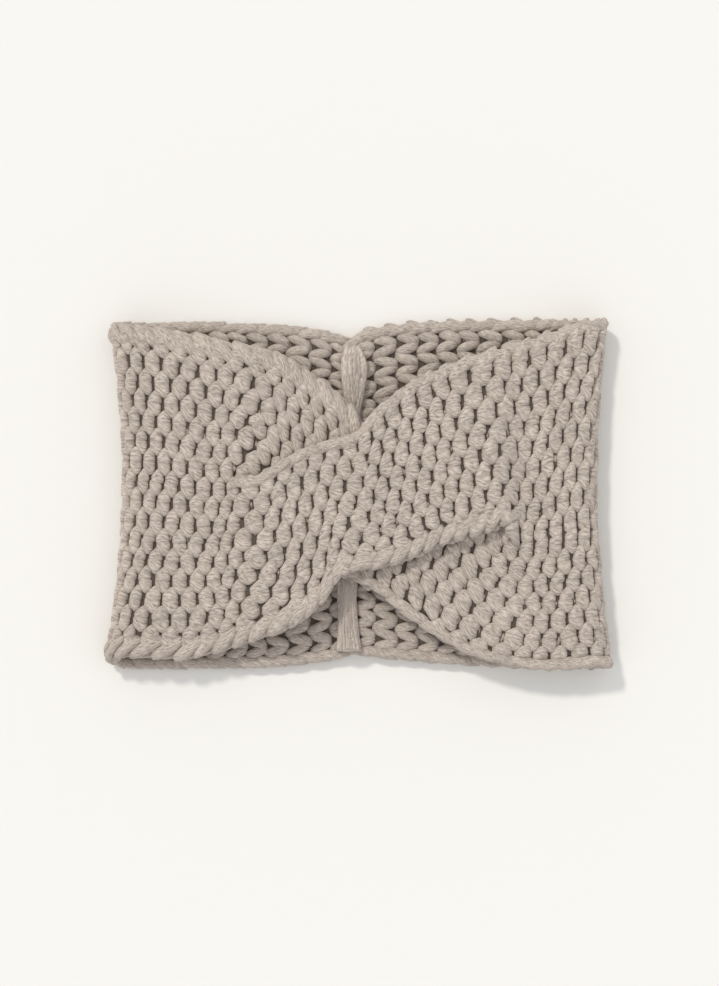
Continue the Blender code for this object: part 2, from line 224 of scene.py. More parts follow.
def panel_section(row):
    """A bowed section across the front wall, whose free edges hang a little lower."""
    sag = row.sag * EDGE_SAG
    return Section(row.courses, (row.low_x * HALF_WIDTH, row.low_y * HALF_STRIP, FRONT_LEVEL - sag),
                   (row.mid_x * HALF_WIDTH, row.mid_y * HALF_STRIP, FRONT_LEVEL),
                   (row.high_x * HALF_WIDTH, row.high_y * HALF_STRIP, FRONT_LEVEL - sag))


def strand_sections(table, lift, over):
    """Straight sections across one strand; a slit at each end keeps the strands' edges apart."""
    sections = []
    for index, row in enumerate(table):
        first = SLIT_GAP / 2 if index == 0 else 0.0
        last = SLIT_GAP / 2 if index == len(table) - 1 else 0.0
        low_inset, high_inset = (last, first) if over else (first, last)
        low = np.array((row.low_x * HALF_WIDTH, row.low_y * HALF_STRIP + low_inset, FRONT_LEVEL))
        high = np.array((row.high_x * HALF_WIDTH, row.high_y * HALF_STRIP - high_inset, FRONT_LEVEL))
        mid = (low + high) / 2
        for point, level in ((low, row.low_level), (mid, row.mid_level), (high, row.high_level)):
            point[2] += level * lift
        sections.append(Section(row.courses, low, mid, high))
    return sections


def across(section, shares):
    """Points across a section, on the parabola through its low, middle and high points."""
    s = np.asarray(shares)[:, None]
    low, mid, high = (np.array(point) for point in (section.low, section.mid, section.high))
    return low * (1 - s) * (1 - 2 * s) + mid * 4 * s * (1 - s) + high * s * (2 * s - 1)


def smooth_along(knots, points, places):
    """A curve through each row of points that never swings past them."""
    steps = np.diff(knots)[:, None, None]
    slopes = np.diff(points, axis=0) / steps
    tangents = np.zeros_like(points)
    tangents[0] = slopes[0]
    tangents[-1] = slopes[-1]
    before, after = slopes[:-1], slopes[1:]
    w_before = 2 * steps[1:] + steps[:-1]
    w_after = steps[1:] + 2 * steps[:-1]
    same_way = before * after > 0
    safe_before = np.where(same_way, before, 1.0)
    safe_after = np.where(same_way, after, 1.0)
    harmonic = (w_before + w_after) / (w_before / safe_before + w_after / safe_after)
    tangents[1:-1] = np.where(same_way, harmonic, 0.0)
    index = np.clip(np.searchsorted(knots, places, side="right") - 1, 0, len(knots) - 2)
    span = (knots[index + 1] - knots[index])[:, None, None]
    t = ((places - knots[index])[:, None, None]) / span
    start, end = points[index], points[index + 1]
    leave, arrive = tangents[index] * span, tangents[index + 1] * span
    return (start * (2 * t**3 - 3 * t**2 + 1) + leave * (t**3 - 2 * t**2 + t)
            + end * (3 * t**2 - 2 * t**3) + arrive * (t**3 - t**2))


def length_of(vectors):
    """Lengths of vectors, kept as a last axis of one."""
    return np.linalg.norm(vectors, axis=-1, keepdims=True)


class Strand:
    """One strand with the stretch of the full strip that it grows out of and runs into."""

    GRID = 8  # lines a course and a column

    def __init__(self, table, lift, over):
        self.over = over
        self.columns = OVER_COLUMNS if over else UNDER_COLUMNS
        self.left_first = 0 if over else OVER_COLUMNS
        self.right_first = UNDER_COLUMNS if over else 0
        self.before = [back_section(row) for row in BACK_LEFT]
        self.before += fold_sections(LEFT_EDGE, True, BACK_TO_LEFT_FOLD)
        self.before += [panel_section(row) for row in FRONT_LEFT]
        self.middle = strand_sections(table, lift, over)
        self.after = [panel_section(row) for row in FRONT_RIGHT]
        self.after += fold_sections(RIGHT_EDGE, False, RIGHT_TO_FOLD)
        self.after += [back_section(row) for row in BACK_RIGHT]
        self.after.append(back_section(BACK_LEFT[0])._replace(courses=BACK_TO_SEAM))
        self.knots = np.cumsum([s.courses for s in self.before + self.middle + self.after])
        self.left_split = self.knots[len(self.before) - 1]
        self.right_split = self.knots[len(self.before) + len(self.middle)]
        self.end = self.knots[-1]

    def positions(self, rows, courses):
        """Points of this strand's rows (counted in its columns) at the given courses."""
        points = [across(s, (self.left_first + rows) / COLUMNS) for s in self.before]
        points += [across(s, rows / self.columns) for s in self.middle]
        points += [across(s, (self.right_first + rows) / COLUMNS) for s in self.after]
        return smooth_along(self.knots, np.array(points), courses)

    def lay_grid(self, other):
        """A fine grid of this strand's points, eased to the other strand where both are one."""
        self.courses = np.linspace(0.0, self.end, int(self.end * self.GRID) + 1)
        self.rows = np.linspace(0.0, self.columns, int(self.columns * self.GRID) + 1)
        points = self.positions(self.rows, self.courses)
        for left in (True, False):
            own_row = self.columns if left == self.over else 0
            other_row = 0 if left == self.over else other.columns
            own_line = self.positions(np.array([float(own_row)]), self.courses)
            other_line = other.positions(np.array([float(other_row)]), self.courses)
            ease = np.clip(1.0 - abs(self.rows - own_row) / EASE_COLUMNS, 0.0, 1.0)[None, :, None]
            side = self.courses <= self.left_split if left else self.courses >= self.right_split
            points += np.where(side[:, None, None], ease * (other_line - own_line) / 2, 0.0)
        self.points = points
        self.forward = np.gradient(points, self.courses, axis=0)
        self.sideways = np.gradient(points, self.rows, axis=1)
        outward = np.cross(self.forward, self.sideways)
        self.outward = outward / length_of(outward)

    def free_at(self, course):
        """Whether the strand's low and its high edge are free at a course."""
        early = course < self.right_split
        late = course > self.left_split
        return (early, late) if self.over else (late, early)

    def at(self, courses, rows):
        """Points and outward directions at any courses and rows, running on past the edges."""
        inside_c = np.clip(courses, 0.0, self.end)
        inside_r = np.clip(rows, 0.0, self.columns)
        step_c = self.courses[1]
        c = inside_c / step_c
        r = inside_r * self.GRID
        c0 = np.minimum(c.astype(int), len(self.courses) - 2)
        r0 = np.minimum(r.astype(int), len(self.rows) - 2)
        fc = (c - c0)[..., None]
        fr = (r - r0)[..., None]

        def blend(grid):
            """Values between the four grid points round each place."""
            low = grid[c0, r0] * (1 - fc) + grid[c0 + 1, r0] * fc
            high = grid[c0, r0 + 1] * (1 - fc) + grid[c0 + 1, r0 + 1] * fc
            return low * (1 - fr) + high * fr

        point = blend(self.points)
        point += blend(self.forward) * (courses - inside_c)[..., None]
        point += blend(self.sideways) * (rows - inside_r)[..., None]
        outward = blend(self.outward)
        return point, outward / length_of(outward)


over = Strand(OVER_STRAND, OVER_LIFT, True)
under = Strand(UNDER_STRAND, -UNDER_SINK, False)
over.lay_grid(under)
under.lay_grid(over)

CORE_THICKNESS = 0.0014
# The core's colour is painted shade: the wool as it looks deep in the slits and between the stitches.
CORE_SHADE_COLOR = (0.110, 0.085, 0.066, 1.0)
CORE_ROUGHNESS = 1.0
CORE_LINES = 2  # a course and a column

core_verts = []
core_faces = []


def add_core_grid(strand):
    """Quads over a strand as faces of the inner layer, which ends short of its free edges."""
    step = Strand.GRID // CORE_LINES
    points = strand.points[::step, ::step]
    courses = strand.courses[::step]
    first = len(core_verts)
    lines, rows = points.shape[:2]
    core_verts.extend(map(tuple, points.reshape(-1, 3)))
    for line in range(lines - 1):
        low_free, high_free = strand.free_at(courses[line])
        for row in range(int(low_free), rows - 1 - int(high_free)):
            corner = first + line * rows + row
            core_faces.append((corner, corner + rows, corner + rows + 1, corner + 1))


def add_piece(name, mesh, material):
    """Link a mesh as one piece of the headband, in its material and slot."""
    mesh.materials.append(material)
    item = bpy.data.objects.new(name, mesh)
    scene.collection.objects.link(item)
    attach(item, "root")
    return item


for strand in (over, under):
    add_core_grid(strand)
core_mesh = bpy.data.meshes.new("band_core")
core_mesh.from_pydata(core_verts, [], core_faces)
core_mesh.shade_smooth()
# The core sheet's material is painted shade, one dark colour for the wool seen in the slits.
core_painted_shade = plain_material("shaded_yarn", CORE_SHADE_COLOR, CORE_ROUGHNESS)
band_core = add_piece("band_core", core_mesh, core_painted_shade)
core_skin = band_core.modifiers.new("thickness", "SOLIDIFY")
core_skin.thickness = CORE_THICKNESS
core_skin.offset = 0.0
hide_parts("knit_band")

# The stitches of the outer face: every stitch is a loop of fat, soft roving, seen as two short
# lobes that spread from a deep slit. Their ends go down between the stitches of the next columns,
# which are half a stitch further on.
YARN_WIDTH = 0.00295
YARN_HEIGHT = 0.00132
SLIT_MARGIN = 0.00122  # half the length of a slit
YARN_SIDES = 10
LOBE_RINGS = 10
TIP_SHARE = 0.3
STITCH_STAGGER = 0.5
JITTER_PLACE = 0.035
JITTER_HEIGHT = 0.00012
JITTER_WIDTH = 0.05
SLIT_LEAN = 0.015
HALF_STITCH = 0.5
QUARTER_COLUMN = 0.25
ROUNDNESS = 0.74
TWIST = 0.014
TINT_SHIFT = 900.0  # gives every yarn fibres of its own
FLOOR_CLEARANCE = 0.00005
YARN_LIGHT = (0.65, 0.556, 0.478, 1.0)
YARN_DARK = (0.27, 0.22, 0.178, 1.0)
YARN_FIBRES = (0.40, 36.0, 1.0)  # per millimetre along the yarn, and once round it

# One lobe: along is the share of the way from slit to slit, side the distance from the middle of
# its row in columns, height in millimetres above the middle of the knitting, girth a share of the
# yarn's, and roundness 1 for an oval section or less for a squarer one. The ends are square, so
# that a slit has straight sides.
LobePoint = namedtuple("LobePoint", "along side height girth roundness")
OUTER_LOBE = (
    LobePoint(0.11, 0.150, -0.60, 0.72, 0.60),
    LobePoint(0.09, 0.150, 0.75, 0.82, 0.60),
    LobePoint(0.13, 0.165, 1.42, 0.94, 0.58),
    LobePoint(0.28, 0.225, 1.70, 1.10, 0.58),
    LobePoint(0.50, 0.300, 1.78, 1.26, 0.58),
    LobePoint(0.72, 0.325, 1.70, 1.27, 0.58),
    LobePoint(0.88, 0.285, 1.32, 1.12, 0.58),
    LobePoint(0.92, 0.260, -0.20, 0.94, 0.55),
)

# On the edges that are free from the left split on, a row of longer lobes leans over the
# outermost stitches; their side is counted so that EDGE_REACH is the edge itself. Where the
# outermost slits are less than NEAR_EDGE columns from it, their own lobes on that side are left out.
EDGE_LOBE = (
    LobePoint(-0.10, 0.30, 0.30, 0.70, 0.80),
    LobePoint(0.05, 0.34, 1.30, 0.90, 0.80),
    LobePoint(0.32, 0.41, 1.90, 1.08, 0.85),
    LobePoint(0.62, 0.51, 2.05, 1.16, 0.85),
    LobePoint(0.94, 0.62, 1.85, 1.10, 0.85),
    LobePoint(1.18, 0.71, 1.20, 0.94, 0.85),
    LobePoint(1.30, 0.75, 0.20, 0.72, 0.80),
)
EDGE_REACH = 0.80
NEAR_EDGE = 0.60


def smooth_path(table, rings):
    """A table of path points as a smooth path with this many rings."""
    rows = np.array(table)[:, None, :]
    knots = np.arange(len(rows), dtype=float)
    return smooth_along(knots, rows, np.linspace(0.0, knots[-1], rings))[:, 0, :]


def tube_corners(rings, sides):
    """Corner vertices of one closed tube: its quads, and the triangles of its two tips."""
    ring = np.arange(rings - 1)[:, None]
    side = np.arange(sides)[None, :]
    after = (side + 1) % sides
    below = ring * sides
    above = below + sides
    quads = np.stack([below + side, above + side, above + after, below + after], axis=-1)
    side = side[0]
    after = after[0]
    last = (rings - 1) * sides
    first_tip = np.stack([np.full(sides, rings * sides), side, after], axis=-1)
    last_tip = np.stack([np.full(sides, rings * sides + 1), last + after, last + side], axis=-1)
    return quads.reshape(-1, 4), np.concatenate([first_tip, last_tip])


def square_to(side_hint, centres):
    """Side directions square to each path, carried along it from a first hint."""
    tangent = np.gradient(centres, axis=1)
    tangent /= length_of(tangent)
    side_way = np.empty_like(centres)
    hint = side_hint
    for ring in range(centres.shape[1]):
        hint = hint - tangent[:, ring] * (hint * tangent[:, ring]).sum(axis=-1, keepdims=True)
        hint = hint / length_of(hint)
        side_way[:, ring] = hint
    return side_way


def yarn_mesh(name, centres, side_way, widths, heights, tints, sides, roundness=ROUNDNESS):
    """Closed tubes of yarn, one along each path, with length and girth as the map 'yarn'.

    The map runs along each yarn in millimetres and once round it, and turns a little on the way.
    """
    count, rings = centres.shape[:2]
    tangent = np.gradient(centres, axis=1)
    tangent /= length_of(tangent)
    across_yarn = side_way / length_of(side_way)
    up_yarn = np.cross(across_yarn, tangent)
    up_yarn /= length_of(up_yarn)
    turn = 2 * np.pi * np.arange(sides) / sides
    bend = np.broadcast_to(roundness, rings)[:, None]
    sidewards = np.sign(np.cos(turn)) * abs(np.cos(turn)) ** bend
    upwards = np.sign(np.sin(turn)) * abs(np.sin(turn)) ** bend
    swing = across_yarn[:, :, None] * sidewards[..., None] * widths[:, :, None, None]
    rise = up_yarn[:, :, None] * upwards[..., None] * heights[:, :, None, None]
    rings_of_points = centres[:, :, None] + swing + rise
    tip_reach = heights[:, [0, -1], None] * np.array((-TIP_SHARE, TIP_SHARE))[:, None]
    tips = centres[:, [0, -1]] + tangent[:, [0, -1]] * tip_reach
    verts = np.concatenate([rings_of_points.reshape(count, rings * sides, 3), tips], axis=1)

    quads, fans = tube_corners(rings, sides)
    per_tube = verts.shape[1]
    first = np.arange(count)[:, None] * per_tube
    corners = np.concatenate([quads.ravel(), fans.ravel()])
    loops = (first + corners[None, :]).ravel()
    sizes = np.tile(np.concatenate([np.full(len(quads), 4), np.full(len(fans), 3)]), count)
    starts = np.concatenate([[0], np.cumsum(sizes)[:-1]])
    mesh = bpy.data.meshes.new(name)
    mesh.vertices.add(verts.shape[0] * verts.shape[1])
    mesh.vertices.foreach_set("co", verts.astype(np.float32).ravel())
    mesh.loops.add(len(loops))
    mesh.loops.foreach_set("vertex_index", loops.astype(np.int32))
    mesh.polygons.add(len(sizes))
    mesh.polygons.foreach_set("loop_start", starts.astype(np.int32))
    mesh.update(calc_edges=True)

    steps = np.linalg.norm(np.diff(centres, axis=1), axis=2)
    travelled = np.concatenate([np.zeros((count, 1)), np.cumsum(steps, axis=1)], axis=1)
    corner_ring = np.minimum(corners // sides, rings - 1)
    corner_ring = np.where(corners == rings * sides, 0, corner_ring)
    girth = (corners % sides) / sides
    # The quad that closes a ring ends at 1 on the map, not back at 0.
    wraps = np.zeros(len(corners), dtype=bool)
    quad_sides = corners[:quads.size].reshape(-1, 4) % sides
    wraps[:quads.size] = ((quad_sides == 0) & (quad_sides.max(axis=1) == sides - 1)[:, None]).ravel()
    girth = np.where(wraps, 1.0, girth)
    u = travelled[:, corner_ring] / MM + tints[:, None] * TINT_SHIFT
    v = girth + travelled[:, corner_ring] / MM * TWIST
    layer = mesh.uv_layers.new(name="yarn")
    layer.uv.foreach_set("vector", np.stack([u, v], axis=-1).astype(np.float32).ravel())
    tint = mesh.attributes.new("tint", "FLOAT", "POINT")
    tint.data.foreach_set("value", np.repeat(tints, per_tube).astype(np.float32))
    mesh.shade_smooth()
    return mesh


def place_lobes(strand, places, path, face, width, height, seed):
    """The lobes at these places (course, row, side, spacing), on the outer (1) or inner face (-1)."""
    rng = np.random.default_rng(seed)
    course, row, side, spacing = places
    count = len(course)
    here, _ = strand.at(course, row)
    ahead, _ = strand.at(course + HALF_STITCH, row)
    behind, _ = strand.at(course - HALF_STITCH, row)
    beside, _ = strand.at(course, row + HALF_STITCH)
    pitch = length_of(ahead - behind)
    forward = (ahead - behind) / pitch
    upright = (beside - here) / HALF_STITCH
    column = length_of(upright) * spacing[:, None]
    slant = (upright * forward).sum(axis=-1, keepdims=True) / length_of(upright)
    margin = SLIT_MARGIN / pitch / np.sqrt(1 - slant**2)
    along = margin + path[:, 0] * (1 - 2 * margin)
    along = course[:, None] + along + rng.normal(0, JITTER_PLACE, (count, 1))
    along += face * SLIT_LEAN * side[:, None]
    spread = side[:, None] * path[:, 1] * spacing[:, None]
    sideways = row[:, None] + spread + rng.normal(0, JITTER_PLACE / 2, (count, 1))
    point, outward = strand.at(along, sideways)
    above, _ = strand.at(along, sideways + QUARTER_COLUMN)
    below, _ = strand.at(along, sideways - QUARTER_COLUMN)
    lift = path[:, 2] * MM + rng.normal(0, JITTER_HEIGHT, (count, 1))
    centres = point + outward * (lift * face)[..., None]
    girth = path[:, 3] * (1 + rng.normal(0, JITTER_WIDTH, (count, 1)))
    widths = width * girth * column / (STRIP_WIDTH / COLUMNS)
    return centres, (above - below) * face, widths, height * np.sqrt(girth), rng.random(count)


def join_sets(sets):
    """The yarn paths of several sets as one set."""
    return [np.concatenate(values) for values in zip(*sets)]


def rest_on_floor(mesh):
    """Yarn that would dip into the table is flattened on it."""
    places = np.empty(len(mesh.vertices) * 3, dtype=np.float32)
    mesh.vertices.foreach_get("co", places)
    places[2::3] = np.maximum(places[2::3], FLOOR_CLEARANCE)
    mesh.vertices.foreach_set("co", places)


def fibre_group():
    """The look of drawn-out wool fibres along a yarn, as colour and as height for a bump."""
    group = bpy.data.node_groups.new("wool_fibres", "ShaderNodeTree")
    for socket, kind in (("Yarn Map", "NodeSocketVector"), ("Tint", "NodeSocketFloat"),
                         ("Fibre Scale", "NodeSocketVector"), ("Dark", "NodeSocketColor"),
                         ("Light", "NodeSocketColor")):
        group.interface.new_socket(socket, in_out="INPUT", socket_type=kind)
    group.interface.new_socket("Color", in_out="OUTPUT", socket_type="NodeSocketColor")
    group.interface.new_socket("Height", in_out="OUTPUT", socket_type="NodeSocketFloat")
    nodes = group.nodes
    links = group.links
    given = nodes.new("NodeGroupInput")
    result = nodes.new("NodeGroupOutput")
    stretch = nodes.new("ShaderNodeVectorMath")
    stretch.operation = "MULTIPLY"
    links.new(given.outputs["Yarn Map"], stretch.inputs[0])
    links.new(given.outputs["Fibre Scale"], stretch.inputs[1])
    fibres = nodes.new("ShaderNodeTexNoise")
    fibres.inputs["Scale"].default_value = 1.0
    fibres.inputs["Detail"].default_value = 5.0
    fibres.inputs["Roughness"].default_value = 0.6
    links.new(stretch.outputs["Vector"], fibres.inputs["Vector"])
    contrast = nodes.new("ShaderNodeMapRange")
    contrast.inputs["From Min"].default_value = 0.33
    contrast.inputs["From Max"].default_value = 0.60
    links.new(fibres.outputs["Fac"], contrast.inputs["Value"])
    mix = nodes.new("ShaderNodeMix")
    mix.data_type = "RGBA"
    links.new(contrast.outputs["Result"], mix.inputs["Factor"])
    links.new(given.outputs["Dark"], mix.inputs["A"])
    links.new(given.outputs["Light"], mix.inputs["B"])
    shade = nodes.new("ShaderNodeMapRange")
    shade.inputs["To Min"].default_value = 0.93
    shade.inputs["To Max"].default_value = 1.06
    links.new(given.outputs["Tint"], shade.inputs["Value"])
    tinted = nodes.new("ShaderNodeHueSaturation")
    links.new(shade.outputs["Result"], tinted.inputs["Value"])
    links.new(mix.outputs["Result"], tinted.inputs["Color"])
    links.new(tinted.outputs["Color"], result.inputs["Color"])
    links.new(fibres.outputs["Fac"], result.inputs["Height"])
    return group


wool_fibres = fibre_group()


def wool_material(name, dark, light, fibre_scale):
    """Soft dull wool: fine fibres along the yarn, pale on dark, with a faint fuzz at its rim."""
    material = bpy.data.materials.new(name)
    material.use_nodes = True
    nodes = material.node_tree.nodes
    links = material.node_tree.links
    shader = nodes["Principled BSDF"]
    shader.inputs["Roughness"].default_value = 0.92
    shader.inputs["Sheen Weight"].default_value = 0.25
    shader.inputs["Sheen Roughness"].default_value = 0.6
    shader.inputs["Specular IOR Level"].default_value = 0.15
    yarn_map = nodes.new("ShaderNodeUVMap")
    yarn_map.uv_map = "yarn"
    tint = nodes.new("ShaderNodeAttribute")
    tint.attribute_name = "tint"
    wool = nodes.new("ShaderNodeGroup")
    wool.node_tree = wool_fibres
    wool.inputs["Fibre Scale"].default_value = fibre_scale
    wool.inputs["Dark"].default_value = dark
    wool.inputs["Light"].default_value = light
    links.new(yarn_map.outputs["UV"], wool.inputs["Yarn Map"])
    links.new(tint.outputs["Fac"], wool.inputs["Tint"])
    links.new(wool.outputs["Color"], shader.inputs["Base Color"])
    bump = nodes.new("ShaderNodeBump")
    bump.inputs["Strength"].default_value = 0.9
    bump.inputs["Distance"].default_value = 0.0005
    links.new(wool.outputs["Height"], bump.inputs["Height"])
    links.new(bump.outputs["Normal"], shader.inputs["Normal"])
    return material


soft_roving = wool_material("soft_roving", YARN_DARK, YARN_LIGHT, YARN_FIBRES)

# The rows of slits between the outer stitches. Along the strands they draw closer together or
# spread as the strands roll, so the topmost row and the spacing change on the way; the stitches
# of a row that would fall past a free edge are left out there.
OVER_SLIT_ROWS = 9
UNDER_SLIT_ROWS = 7
SPARE_STITCHES = 1.1  # laid out past the seam, then cut off there
OUTER_TO_SEAM = 0.6
SEED_STEP = 10
EDGE_SEED = 2

# A slit keeps room, in columns, to a free edge: more to an edge that is free up to the right split
# than to one that is free from the left split on. An edge counts as free from SPLIT_MARGIN courses
# after the left split, or until ROPE_STOP courses before the right one, where its rope stops. In
# the first HIDDEN_SHARE of the under strand, where the over strand hides its low edge, the stitches
# run on past it.
WIDE_ROOM = 0.60
SLIM_ROOM = 0.25
SPLIT_MARGIN = 0.8
ROPE_STOP = 1.4
HIDDEN_ROOM = -0.40
HIDDEN_SHARE = 0.45

# Share is how far along the strand, from the left split to the right one. Top is the topmost slit
# row, counted from the low edge, and spacing the distance between two rows, both in columns.
RowPlaces = namedtuple("RowPlaces", "share top spacing")
OVER_ROWS = (
    RowPlaces(0.00, 9.0, 1.00),
    RowPlaces(0.30, 8.9, 1.40),
    RowPlaces(0.55, 8.4, 1.14),
    RowPlaces(1.00, 8.6, 1.09),
)
UNDER_ROWS = (
    RowPlaces(0.00, 6.7, 1.02),
    RowPlaces(0.12, 6.5, 1.20),
    RowPlaces(0.30, 6.4, 1.12),
    RowPlaces(1.00, 6.4, 0.97),
)


def row_courses(strand, number, stagger):
    """The courses at which this row's stitches begin; the two strands end in step."""
    parity = (number + (0 if strand.over else OVER_SLIT_ROWS)) % 2
    stitches = np.arange(0, strand.end * SPARE_STITCHES) + parity * stagger
    middle = strand.right_split - strand.left_split
    spacing = middle / (middle + (0.0 if strand.over else stagger))
    on_strand = strand.left_split + (stitches - strand.left_split) * spacing
    joined_again = strand.left_split + middle / spacing
    courses = np.where(stitches <= strand.left_split, stitches, on_strand)
    return np.where(stitches > joined_again, strand.right_split + stitches - joined_again, courses)


def slit_rows(strand, number, courses):
    """Where a slit row lies at these courses, in columns from the low edge, and the spacing."""
    table = OVER_ROWS if strand.over else UNDER_ROWS
    last = OVER_SLIT_ROWS if strand.over else UNDER_SLIT_ROWS
    share = (courses - strand.left_split) / (strand.right_split - strand.left_split)
    top = np.interp(share, [row.share for row in table], [row.top for row in table])
    spacing = np.interp(share, [row.share for row in table], [row.spacing for row in table])
    return top - (last - number) * spacing, spacing


def outer_places(strand, start, end, at_edge=False):
    """Places of a strand's outer lobes, or of the longer ones on its edge that is free late."""
    places = []
    last = OVER_SLIT_ROWS if strand.over else UNDER_SLIT_ROWS
    for number in range(1, last + 1):
        on = row_courses(strand, number, STITCH_STAGGER)
        on = on[(on >= start) & (on < end)]
        rows, spacing = slit_rows(strand, number, on)
        low_room, high_room = (WIDE_ROOM, SLIM_ROOM) if strand.over else (SLIM_ROOM, WIDE_ROOM)
        early = on < strand.right_split - ROPE_STOP
        late = on > strand.left_split + SPLIT_MARGIN
        low_free, high_free = (early, late) if strand.over else (late, early)
        middle = strand.right_split - strand.left_split
        under_over = (on < strand.left_split + HIDDEN_SHARE * middle) & (not strand.over)
        low_room = np.where(under_over, HIDDEN_ROOM, low_room)
        room = (rows > low_room) | ~low_free
        room &= (rows < strand.columns - high_room) | ~high_free
        outermost = number == (last if strand.over else 1)
        for side in (-1.0, 1.0):
            edge_side = outermost and side == (1.0 if strand.over else -1.0)
            to_edge = strand.columns - rows if strand.over else rows
            if at_edge:
                kept = room & late & edge_side
            else:
                kept = room & ~(late & edge_side & (to_edge < NEAR_EDGE))
            scale = to_edge / EDGE_REACH if at_edge else spacing
            places.append((on[kept], rows[kept], np.full(kept.sum(), side), scale[kept]))
    return join_sets(places)


# The stitches as six pieces, parted at the middles of the side folds and at the two splits.
left_fold = over.knots[len(BACK_LEFT)] + FOLD_COURSES / 2
right_fold = over.knots[-2 - len(BACK_RIGHT)] - FOLD_COURSES / 2
Stretch = namedtuple("Stretch", "name strands start end")
STRETCHES = (
    Stretch("back_left", (over, under), 0.0, left_fold),
    Stretch("front_left", (over, under), left_fold, over.left_split),
    Stretch("over_strand", (over,), over.left_split, over.right_split),
    Stretch("under_strand", (under,), under.left_split, under.right_split),
    Stretch("front_right", (over, under), over.right_split, right_fold),
    Stretch("back_right", (over, under), right_fold, over.end - OUTER_TO_SEAM),
)
outer_path = smooth_path(OUTER_LOBE, LOBE_RINGS)
edge_path = smooth_path(EDGE_LOBE, LOBE_RINGS)
for number, stretch in enumerate(STRETCHES):
    sets = []
    for strand in stretch.strands:
        seed = SEED_STEP * number + strand.over
        places = outer_places(strand, stretch.start, stretch.end)
        sets.append(place_lobes(strand, places, outer_path, 1, YARN_WIDTH, YARN_HEIGHT, seed))
        places = outer_places(strand, stretch.start, stretch.end, at_edge=True)
        sets.append(place_lobes(strand, places, edge_path, 1, YARN_WIDTH, YARN_HEIGHT,
                                seed + EDGE_SEED))
    name = "outer_" + stretch.name
    mesh = yarn_mesh(name, *join_sets(sets), YARN_SIDES, outer_path[:, 4])
    rest_on_floor(mesh)
    add_piece(name, mesh, soft_roving)

# The stitches of the inner face: plaits of longer lobes, with a deep groove between two columns.
# They show on the back wall inside the loop, above and below the crossing.
INNER_WIDTH = 0.00260
INNER_HEIGHT = 0.00155
INNER_SIDES = 8
INNER_RINGS = 9
INNER_EDGE = 0.40
INNER_NARROWING = (1.12, 0.80)
INNER_TO_SEAM = 0.9
INNER_SEED = 100
INNER_LOBE = (
    LobePoint(0.14, 0.08, -0.20, 0.80, 0.9),
    LobePoint(0.13, 0.09, 0.70, 0.95, 0.9),
    LobePoint(0.22, 0.12, 1.45, 1.04, 0.9),
    LobePoint(0.56, 0.22, 1.80, 1.06, 0.9),
    LobePoint(0.96, 0.33, 1.55, 1.02, 0.9),
    LobePoint(1.22, 0.40, 0.75, 0.90, 0.9),
    LobePoint(1.32, 0.42, -0.20, 0.75, 0.9),
)


def inner_middles(strand, late):
    """Rows of the middles of the inner columns, which are widest next to the free edge."""
    count = round(strand.columns)
    widths = np.linspace(*INNER_NARROWING, count)
    widths *= (strand.columns - INNER_EDGE) / widths.sum()
    middles = INNER_EDGE + np.cumsum(widths) - widths / 2
    return strand.columns - middles if late == strand.over else middles


def inner_places(strand, start, end):
    """Places (course, row, side, spacing) of a strand's inner lobes between two courses."""
    places = []
    turn_over = (strand.left_split + strand.right_split) / 2
    for number in range(round(strand.columns)):
        on = row_courses(strand, number, 0.0)
        on = on[(on >= start) & (on < end)]
        early = inner_middles(strand, False)[number]
        late = inner_middles(strand, True)[::-1][number]
        row = np.where(on < turn_over, early, late)
        for side in (-1.0, 1.0):
            places.append((on, row, np.full(len(on), side), np.ones(len(on))))
    return join_sets(places)


inner_path = smooth_path(INNER_LOBE, INNER_RINGS)
for number, stretch in enumerate(STRETCHES):
    sets = []
    for strand in stretch.strands:
        places = inner_places(strand, stretch.start, min(stretch.end, over.end - INNER_TO_SEAM))
        sets.append(place_lobes(strand, places, inner_path, -1, INNER_WIDTH, INNER_HEIGHT,
                                INNER_SEED + SEED_STEP * number + strand.over))
    name = "inner_" + stretch.name
    mesh = yarn_mesh(name, *join_sets(sets), INNER_SIDES, inner_path[:, 4])
    add_piece(name, mesh, soft_roving)

# The selvedges: along every free edge a rope of lobes. Each one starts at the edge and runs
# forward with one arm on the outer face and one on the inner, so the strands' edges and the
# strip's own look plaited.
ROPE_WIDTH = 0.0026
ROPE_HEIGHT = 0.0016
ROPE_RINGS = 16
ROPE_START = 0.3
ROPE_FROM_SPLIT = 0.4
ROPE_TO_SEAM = 0.9
ROPE_SEED = 400

# Along is in courses, beyond in columns from the edge (less than 0 is inside the strip), height in
# millimetres. The wide arm lies on the edges that are free up to the right split, the slim one on
# those that are free from the left split on.
RopePoint = namedtuple("RopePoint", "along beyond height girth")
INNER_ARM = (
    RopePoint(1.55, -0.42, -0.40, 0.62),
    RopePoint(1.30, -0.33, -1.40, 0.82),
    RopePoint(0.90, -0.23, -1.80, 0.92),
    RopePoint(0.42, -0.16, -1.60, 0.94),
    RopePoint(0.06, -0.15, -0.85, 0.88),
)
WIDE_ARM = (
    RopePoint(-0.04, -0.12, 0.15, 0.92),
    RopePoint(0.10, -0.16, 1.00, 1.02),
    RopePoint(0.36, -0.33, 1.55, 1.12),
    RopePoint(0.66, -0.56, 1.65, 1.16),
    RopePoint(0.94, -0.76, 1.50, 1.10),
    RopePoint(1.14, -0.91, 0.90, 0.98),
    RopePoint(1.22, -0.97, -0.10, 0.80),
)
SLIM_ARM = (
    RopePoint(-0.04, -0.16, 0.15, 0.90),
    RopePoint(0.12, -0.18, 1.10, 0.94),
    RopePoint(0.42, -0.20, 1.70, 0.98),
    RopePoint(0.84, -0.26, 1.75, 0.96),
    RopePoint(1.20, -0.33, 1.10, 0.82),
    RopePoint(1.40, -0.38, 0.10, 0.64),
)


